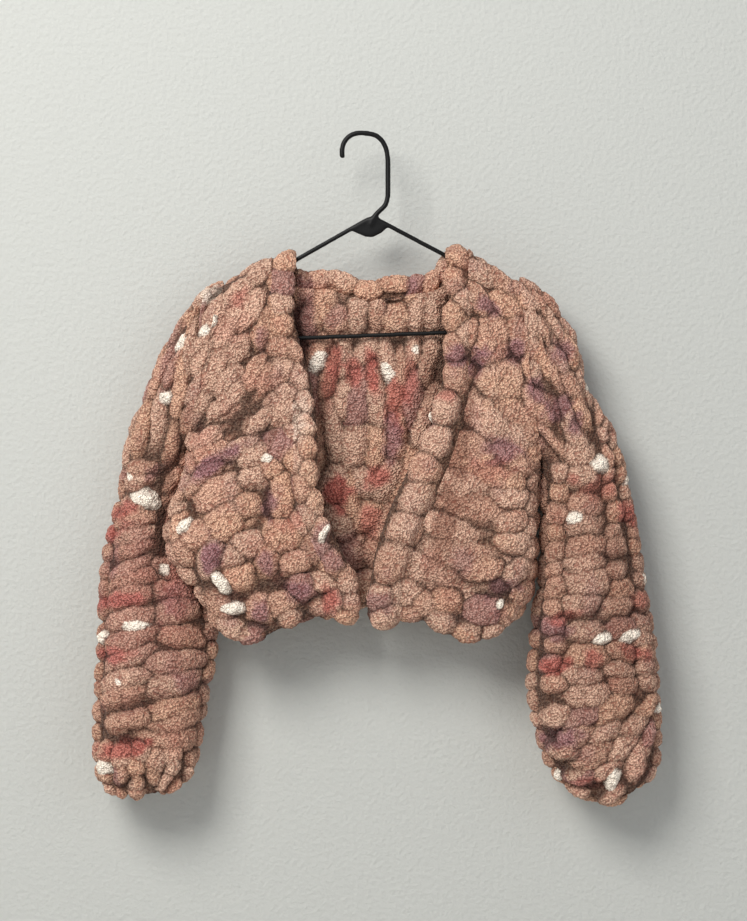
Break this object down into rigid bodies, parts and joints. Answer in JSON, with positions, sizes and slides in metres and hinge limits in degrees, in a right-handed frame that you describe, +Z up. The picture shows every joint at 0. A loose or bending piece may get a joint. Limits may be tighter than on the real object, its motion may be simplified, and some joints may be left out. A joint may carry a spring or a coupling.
{
  "type": "knitted bolero on a clothes hanger",
  "caption": "Short open-fronted bolero in thick curly knit with long sleeves and rolled edges, hung on a slim black plastic hanger.",
  "frame": {"origin": "inner apex of the hanger's hook, where it rests on its nail or rail", "axes": "+Z up, the garment's front looks along -Y, +X to the right of someone who looks at the front"},
  "size_m": [0.6181, 0.0978, 0.7356],
  "materials": {
    "chenille_yarn": "matt curly chenille yarn, rose beige flecked with red, mauve and cream",
    "black_plastic": "satin black"
  },
  "bodies": {
    "root": {"hanger": "black_plastic", "back": "chenille_yarn", "left_front": "chenille_yarn", "right_front": "chenille_yarn", "left_sleeve": "chenille_yarn", "right_sleeve": "chenille_yarn", "left_band": "chenille_yarn", "right_band": "chenille_yarn", "neck_band": "chenille_yarn"}
  },
  "joints": []
}
